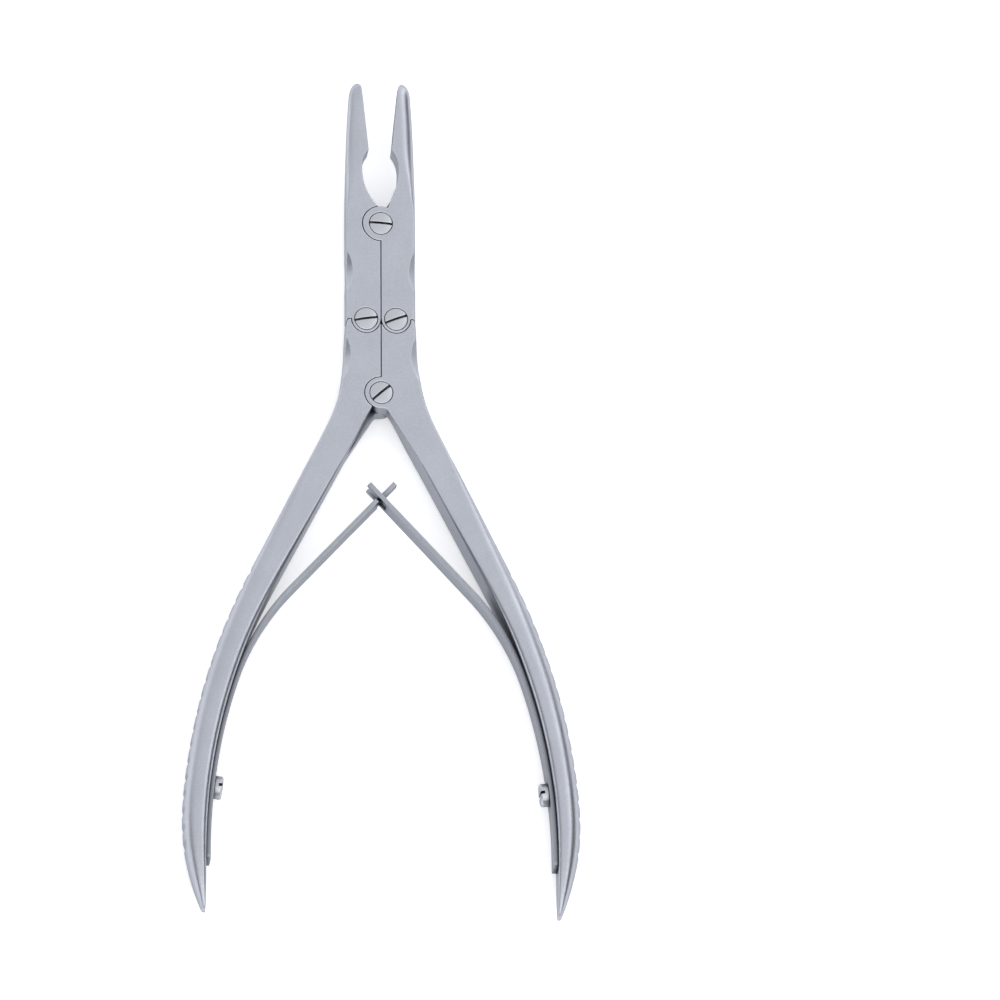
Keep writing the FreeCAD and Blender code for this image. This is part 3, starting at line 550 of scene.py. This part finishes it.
@dataclass
class LeafSpring:
    """Leaf spring that lies on a grip, leaves it in a bend and crosses its twin.

    Lengths are in millimetres and angles in degrees, but places are in metres.

    Attributes:
        side: Half that it belongs to.
        end: Shape of its free end.
        finish: Finish of the blade.
        thickness: Thickness of the blade.
        width: Width up to the screw.
        top_width: Width from the crossing on.
        seated_run: Straight run at the lower end.
        grip_radius: Radius of the grip's inner face.
        seat_gap: Air between the blade and the grip.
        leave_lean: Lean of the blade where it leaves the grip.
        bend_radius: Radius of the bend that follows.
        free_lean: Lean of the straight run to the crossing.
        screw_rise: Height of the screw over the lower end.
        taper_rise: Height over the lower end where the blade starts to narrow.
        hole_radius: Radius of the screw's hole.
        end_round: Radius of the lower corners.
        edge_break: Broken edges.
        point: Middle of the blade's section where the modelling has come to.
        lean: Lean of the blade there.
        crossing: Where the blade crosses its twin.
        low_y: Height of its lower end.
        middle_z: Middle of the blade from front to back.
    """

    side: Side
    end: SpringEnd
    finish: SteelFinish = SPRING_STEEL
    thickness: float = 0.95
    width: float = 5.5
    top_width: float = 4.6
    seated_run: float = 1.6
    grip_radius: float = 125.586
    seat_gap: float = 0.02
    leave_lean: float = 18.0
    bend_radius: float = 52.0
    free_lean: float = 42.5
    screw_rise: float = 16.4
    taper_rise: float = 18.8
    hole_radius: float = 1.45
    end_round: float = 1.2
    edge_break: float = 0.1
    point: Vector = field(init=False, default_factory=Vector)
    lean: float = field(init=False, default=0.0)
    crossing: Vector = field(init=False, default_factory=Vector)
    low_y: float = field(init=False, default=0.0)
    middle_z: float = field(init=False, default=0.0)

    # Length of one extruded step, and the slack in finding an edge
    STEP: ClassVar[float] = 1.5
    SLACK: ClassVar[float] = 0.01
    # Long enough to go through the blade on both sides
    CUTTER_LENGTH: ClassVar[float] = 12.0
    CUTTER_SIDES: ClassVar[int] = 48
    ROUND_SEGMENTS: ClassVar[int] = 8
    BREAK_SEGMENTS: ClassVar[int] = 2
    BREAK_ANGLE: ClassVar[float] = 40.0
    SMOOTH_ANGLE: ClassVar[float] = 35.0
    # Below this a turn, or a change of width, is none
    NOTHING: ClassVar[float] = 1e-9

    @property
    def node(self) -> str:
        """Name of the plain spring that this one stands for."""
        return self.side.word + "_spring"

    def forward(self, lean: float) -> Vector:
        """Direction along the blade at a lean in degrees."""
        angle = math.radians(lean)
        return Vector((-self.side.value * math.sin(angle), math.cos(angle), 0))

    def across(self, lean: float) -> Vector:
        """Direction from the grip through the blade at a lean in degrees."""
        angle = math.radians(lean)
        return Vector((-self.side.value * math.cos(angle), -math.sin(angle), 0))

    def bend_move(self, radius: float, first_lean: float, last_lean: float) -> Vector:
        """Way from one end of a bend to the other.

        Args:
            radius: Radius of the blade's middle line.
            first_lean: Lean before the bend.
            last_lean: Lean after it.

        Returns:
            The move in metres.
        """
        return (self.across(first_lean) - self.across(last_lean)) * (radius * MM)

    def build(self) -> bpy.types.Object:
        """Model the spring and dress it, in place of the plain spring.

        Returns:
            The finished spring.
        """
        low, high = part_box(self.node)
        outer_x = low.x if self.side is Side.LEFT else high.x
        self.middle_z = (low.z + high.z) / 2
        self.low_y = low.y
        self.point = Vector((outer_x, low.y, self.middle_z)) + self.across(0) * (self.thickness / 2 * MM)
        middle = self.seat_gap + self.thickness / 2
        grip_bend = self.grip_radius - middle
        free_bend = self.bend_radius - middle
        leaves = self.point + self.forward(0) * (self.seated_run * MM)
        leaves += self.bend_move(grip_bend, 0, self.leave_lean)
        straight = leaves + self.bend_move(free_bend, self.leave_lean, self.free_lean)
        to_crossing = abs(straight.x) / math.sin(math.radians(self.free_lean)) / MM
        self.crossing = straight + self.forward(self.free_lean) * (to_crossing * MM)
        shape = self.end.value
        blade = self.start_blade()
        self.run(self.seated_run)
        self.bend(grip_bend, self.leave_lean)
        self.bend(free_bend, self.free_lean - self.leave_lean)
        self.run(to_crossing - shape.shoulder)
        self.select_end_faces()
        self.run(shape.shoulder + shape.overhang)
        self.round_corners()
        bpy.ops.object.mode_set(mode="OBJECT")
        self.cut_screw_hole(blade)
        self.break_edges(blade)
        bpy.ops.object.transform_apply(location=True, rotation=True, scale=True)
        blade.data.materials.clear()
        blade.data.materials.append(self.finish.build("_" + self.side.word))
        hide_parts(self.node)
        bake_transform(blade)
        log.info("%s: %d faces", blade.name, len(blade.data.polygons))
        return blade

    def start_blade(self) -> bpy.types.Object:
        """Add the blade's section at its lower end, cut into three strips, and stay in edit mode.

        Returns:
            The new object.
        """
        deselect_all()
        bpy.ops.mesh.primitive_plane_add(
            size=1, enter_editmode=True, location=self.point, rotation=(math.radians(90), 0, 0)
        )
        blade = bpy.context.object
        blade.name = self.side.word + "_leaf_spring"
        blade.data.name = blade.name
        section = (self.thickness * MM, 1, self.width * MM)
        bpy.ops.transform.resize(value=section, center_override=self.point)
        # The strips narrow with the blade and reach the tongue's or the slot's width at the crossing
        half_strip = self.end.value.strip_width / 2 * self.width / self.top_width * MM
        for offset in (-half_strip, half_strip):
            bpy.ops.mesh.select_all(action="SELECT")
            bpy.ops.mesh.bisect(plane_co=self.point + Vector((0, 0, offset)), plane_no=(0, 0, 1))
        bpy.ops.mesh.select_all(action="SELECT")
        return blade

    def width_at(self, y: float) -> float:
        """Width of the blade at a height.

        Args:
            y: Height in metres.

        Returns:
            Width in millimetres.
        """
        start = self.low_y + self.taper_rise * MM
        share = min(max((y - start) / (self.crossing.y - start), 0.0), 1.0)
        return self.width + (self.top_width - self.width) * share

    def advance(self, lean: float, length: float) -> None:
        """Extrude the selected section, turn it to a new lean and narrow it.

        Args:
            lean: Lean after the step.
            length: Length of the step.
        """
        move = self.forward((self.lean + lean) / 2) * (length * MM)
        width_before = self.width_at(self.point.y)
        bpy.ops.mesh.extrude_region_move(TRANSFORM_OT_translate={"value": move})
        self.point = self.point + move
        turn = math.radians(lean - self.lean) * self.side.value
        if abs(turn) > self.NOTHING:
            bpy.ops.transform.rotate(value=-turn, orient_axis="Z", center_override=self.point)
        narrowing = self.width_at(self.point.y) / width_before
        if narrowing < 1 - self.NOTHING:
            bpy.ops.transform.resize(value=(1, 1, narrowing), center_override=self.point)
        self.lean = lean

    def run(self, length: float) -> None:
        """Extrude a straight run.

        Args:
            length: Length of the run.
        """
        steps = max(1, round(length / self.STEP))
        for _ in range(steps):
            self.advance(self.lean, length / steps)

    def bend(self, radius: float, turn: float) -> None:
        """Extrude a bend.

        Args:
            radius: Radius of the blade's middle line.
            turn: Turn in degrees.
        """
        steps = max(1, round(radius * math.radians(turn) / self.STEP))
        chord = 2 * radius * math.sin(math.radians(turn / steps) / 2)
        for _ in range(steps):
            self.advance(self.lean + turn / steps, chord)

    def select_end_faces(self) -> None:
        """Select the strips of the end face that go on as the tongue or the tines."""
        shape = self.end.value
        blade = bpy.context.object
        mesh = bmesh.from_edit_mesh(blade.data)
        end_faces = [face for face in mesh.faces if face.select]
        clear_mesh_selection(mesh)
        for face in end_faces:
            height = (blade.matrix_world @ face.calc_center_median()).z - self.middle_z
            is_middle = abs(height) < shape.strip_width / 4 * MM
            if is_middle == shape.keeps_middle:
                face.select_set(True)
        bmesh.update_edit_mesh(blade.data)

    def round_corners(self) -> None:
        """Round the blade's lower corners."""
        blade = bpy.context.object
        mesh = bmesh.from_edit_mesh(blade.data)
        clear_mesh_selection(mesh)
        half = self.width / 2 * MM
        slack = self.SLACK * MM
        for edge in mesh.edges:
            ends = [blade.matrix_world @ vert.co for vert in edge.verts]
            at_low_end = all(abs(end.y - self.low_y) < slack for end in ends)
            at_side = all(abs(abs(end.z - self.middle_z) - half) < slack for end in ends)
            if at_low_end and at_side:
                edge.select_set(True)
        bmesh.update_edit_mesh(blade.data)
        bpy.ops.mesh.bevel(offset=self.end_round * MM, segments=self.ROUND_SEGMENTS, affect="EDGES")

    def cut_screw_hole(self, blade: bpy.types.Object) -> None:
        """Cut the hole for the screw.

        Args:
            blade: Spring without the hole.
        """
        low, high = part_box(self.node + "_screw")
        lean = math.degrees(math.asin((self.screw_rise - self.seated_run) / self.grip_radius))
        deselect_all()
        bpy.ops.mesh.primitive_cylinder_add(
            vertices=self.CUTTER_SIDES,
            radius=self.hole_radius * MM,
            depth=self.CUTTER_LENGTH * MM,
            location=(low + high) / 2,
            rotation=self.across(lean).to_track_quat("Z", "Y").to_euler(),
        )
        cutter = bpy.context.object
        deselect_all()
        blade.select_set(True)
        bpy.context.view_layer.objects.active = blade
        hole = blade.modifiers.new("screw_hole", "BOOLEAN")
        hole.operation = "DIFFERENCE"
        hole.object = cutter
        bpy.ops.object.modifier_apply(modifier=hole.name)
        bpy.data.objects.remove(cutter)

    def break_edges(self, blade: bpy.types.Object) -> None:
        """Break the sharp edges and shade the bends smooth.

        Args:
            blade: Spring with sharp edges.
        """
        edges = blade.modifiers.new("broken_edges", "BEVEL")
        edges.width = self.edge_break * MM
        edges.segments = self.BREAK_SEGMENTS
        edges.limit_method = "ANGLE"
        edges.angle_limit = math.radians(self.BREAK_ANGLE)
        bpy.ops.object.modifier_apply(modifier=edges.name)
        bpy.ops.object.shade_smooth_by_angle(angle=math.radians(self.SMOOTH_ANGLE))


@dataclass(frozen=True)
class Softbox:
    """Square studio light that looks at the rongeur.

    Attributes:
        name: Name of the light.
        direction: Direction from the rongeur to the light.
        distance: Distance in metres.
        size: Side of the light in metres.
        brightness: Brightness of its face, 1 being that of a white floor in full light.
        colour: Colour as sRGB hex.
    """

    name: str
    direction: tuple[float, float, float]
    distance: float
    size: float
    brightness: float
    colour: str = "FFFFFF"

    def place(self, target: Vector) -> None:
        """Hang the light.

        Args:
            target: Point that it looks at.
        """
        lamp = bpy.data.lights.new(self.name, "AREA")
        lamp.shape = "SQUARE"
        lamp.size = self.size
        lamp.energy = self.brightness * math.pi * self.size ** 2
        lamp.color = srgb(self.colour)[:3]
        holder = bpy.data.objects.new(self.name, lamp)
        towards = Vector(self.direction).normalized()
        holder.location = target + towards * self.distance
        holder.rotation_euler = towards.to_track_quat("Z", "Y").to_euler()
        bpy.context.scene.collection.objects.link(holder)


@dataclass
class Studio:
    """Pale floor, soft light and the camera.

    Attributes:
        floor_size: Side of the floor in metres.
        floor_colour: Colour of the floor as sRGB hex.
        floor_roughness: Roughness of the floor.
        floor_glow: Light that comes through the floor, 1 being that of a white floor in full light.
        room_colour: Colour of the room's own light as sRGB hex.
        room_brightness: Brightness of the room from the left to the right, as pairs of the
            direction's x and the brightness.
        near_shade: Share of that light which is missing low down on the photographer's side.
        shade_heights: Height of a direction from which the shade starts, and where it is full.
        shade_depths: The same for the direction's y.
        softboxes: The studio lights.
        tilt: Tilt of the camera towards the grips, in degrees from straight above.
        yaw: Turn of the camera towards the left, in degrees.
        roll: Turn of the camera about its own axis, clockwise, in degrees.
        lens: Focal length in millimetres.
        sensor: Width of the sensor in millimetres.
        sight: Farthest distance that the camera sees, in metres.
        frame_pixels: Width of the picture in pixels.
        pixels_per_mm: Scale of the picture at the front face.
        joint_pixel: Where the picture shows the middle of the model's front face.
    """

    floor_size: float = 6.0
    floor_colour: str = "F4F4F5"
    floor_roughness: float = 0.9
    floor_glow: float = 0.45
    room_colour: str = "FAFBFF"
    room_brightness: tuple[tuple[float, float], ...] = (
        (-1.0, 0.9),
        (-0.6, 1.05),
        (0.3, 1.1),
        (0.48, 1.5),
        (0.6, 2.5),
        (0.72, 0.9),
        (0.82, 0.12),
        (1.0, 0.05),
    )
    near_shade: float = 0.85
    shade_heights: tuple[float, float] = (0.55, 0.2)
    shade_depths: tuple[float, float] = (0.45, 0.1)
    softboxes: tuple[Softbox, ...] = (
        Softbox("near_softbox", (-0.1, -0.65, 0.75), distance=1.2, size=1.4, brightness=0.6),
    )
    tilt: float = 19.1
    yaw: float = 5.0
    roll: float = 0.25
    lens: float = 1000.0
    sensor: float = 36.0
    sight: float = 100.0
    frame_pixels: int = 1000
    pixels_per_mm: float = 4.89
    joint_pixel: tuple[float, float] = (381.7, 492.2)

    def build(self) -> None:
        """Set up the floor, the light and the camera."""
        low, high = CAD_BOX
        self.lay_floor(low.z)
        self.light_room()
        for softbox in self.softboxes:
            softbox.place((low + high) / 2)
        self.place_camera(Vector((0, 0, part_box("left_jaw")[1].z)))
        bpy.context.scene.view_settings.view_transform = "Standard"
        log.info("studio: %d softboxes", len(self.softboxes))

    def lay_floor(self, height: float) -> None:
        """Lay the floor.

        Args:
            height: Height of the lowest point of the rongeur, in metres.
        """
        deselect_all()
        bpy.ops.mesh.primitive_plane_add(size=self.floor_size, location=(0, 0, height))
        floor = bpy.context.object
        floor.name = "floor"
        # Matte white acrylic over lamps: an even white that gives a little light of its own
        material = empty_material("matte_white_light_table")
        tree = material.node_tree
        acrylic = add_node(
            tree,
            "ShaderNodeBsdfPrincipled",
            inputs={
                "Base Color": srgb(self.floor_colour),
                "Roughness": self.floor_roughness,
                "Emission Color": srgb(self.floor_colour),
                "Emission Strength": self.floor_glow,
            },
        )
        add_node(tree, "ShaderNodeOutputMaterial", inputs={"Surface": acrylic.outputs["BSDF"]})
        floor.data.materials.append(material)

    def light_room(self) -> None:
        """Light the room softly.

        A bright strip stands on the right, with dark beyond it, and the near side is shaded low down.
        """
        world = bpy.data.worlds.new("soft_room")
        bpy.context.scene.world = world
        world.use_nodes = True
        tree = world.node_tree
        direction = add_node(tree, "ShaderNodeTexCoord").outputs["Generated"]
        way = add_node(tree, "ShaderNodeSeparateXYZ", inputs={"Vector": direction}).outputs
        from_left = add_node(
            tree, "ShaderNodeMapRange", inputs={"Value": way["X"], "From Min": -1.0, "From Max": 1.0}
        ).outputs["Result"]
        ramp = add_node(tree, "ShaderNodeValToRGB", inputs={"Fac": from_left})
        stops = ramp.color_ramp.elements
        for x, brightness in self.room_brightness[1:-1]:
            stops.new((x + 1) / 2)
        brightest = max(brightness for x, brightness in self.room_brightness)
        for stop, (x, brightness) in zip(stops, self.room_brightness):
            stop.position = (x + 1) / 2
            stop.color = (brightness / brightest,) * 3 + (1.0,)
        low, near = (
            add_node(
                tree,
                "ShaderNodeMapRange",
                {"interpolation_type": "SMOOTHSTEP"},
                {"Value": way[axis], "From Min": start, "From Max": end},
            ).outputs["Result"]
            for axis, (start, end) in (("Z", self.shade_heights), ("Y", self.shade_depths))
        )
        times = {"operation": "MULTIPLY"}
        shade = add_node(tree, "ShaderNodeMath", times, {0: low, 1: near}).outputs["Value"]
        light = add_node(
            tree,
            "ShaderNodeMapRange",
            inputs={"Value": shade, "To Min": brightest, "To Max": brightest * (1 - self.near_shade)},
        ).outputs["Result"]
        strength = add_node(
            tree, "ShaderNodeMath", times, {0: ramp.outputs["Color"], 1: light}
        ).outputs["Value"]
        background = tree.nodes["Background"]
        background.inputs["Color"].default_value = srgb(self.room_colour)
        tree.links.new(strength, background.inputs["Strength"])

    def place_camera(self, front_middle: Vector) -> None:
        """Stand the camera where the photographer stood, with +Y upright in the picture.

        Args:
            front_middle: Middle of the model's front face.
        """
        tilt = math.radians(self.tilt)
        yaw = math.radians(self.yaw)
        back = Vector((-math.sin(yaw) * math.cos(tilt), -math.sin(tilt), math.cos(yaw) * math.cos(tilt)))
        level = Vector((0, 1, 0)).cross(back).normalized()
        upright = back.cross(level)
        roll = math.radians(self.roll)
        right = level * math.cos(roll) - upright * math.sin(roll)
        up = level * math.sin(roll) + upright * math.cos(roll)
        middle = self.frame_pixels / 2
        scale = MM / self.pixels_per_mm
        aim = front_middle + right * ((middle - self.joint_pixel[0]) * scale)
        aim = aim + up * ((self.joint_pixel[1] - middle) * scale)
        distance = self.frame_pixels * scale * self.lens / self.sensor
        camera = bpy.data.cameras.new("camera")
        camera.lens = self.lens
        camera.sensor_width = self.sensor
        camera.clip_end = self.sight
        holder = bpy.data.objects.new("camera", camera)
        turn = Matrix((right, up, back)).transposed().to_4x4()
        holder.matrix_world = Matrix.Translation(aim + back * distance) @ turn
        bpy.context.scene.collection.objects.link(holder)
        bpy.context.scene.camera = holder


def main() -> None:
    """Dress the rongeur and set up the studio round it."""
    logging.basicConfig(level=logging.INFO, format="%(name)s: %(message)s")
    ForgedParts().dress()
    Screws().dress()
    LeafSpring(Side.LEFT, SpringEnd.TONGUE).build()
    LeafSpring(Side.RIGHT, SpringEnd.FORK).build()
    Studio().build()


if __name__ == "__main__":
    main()
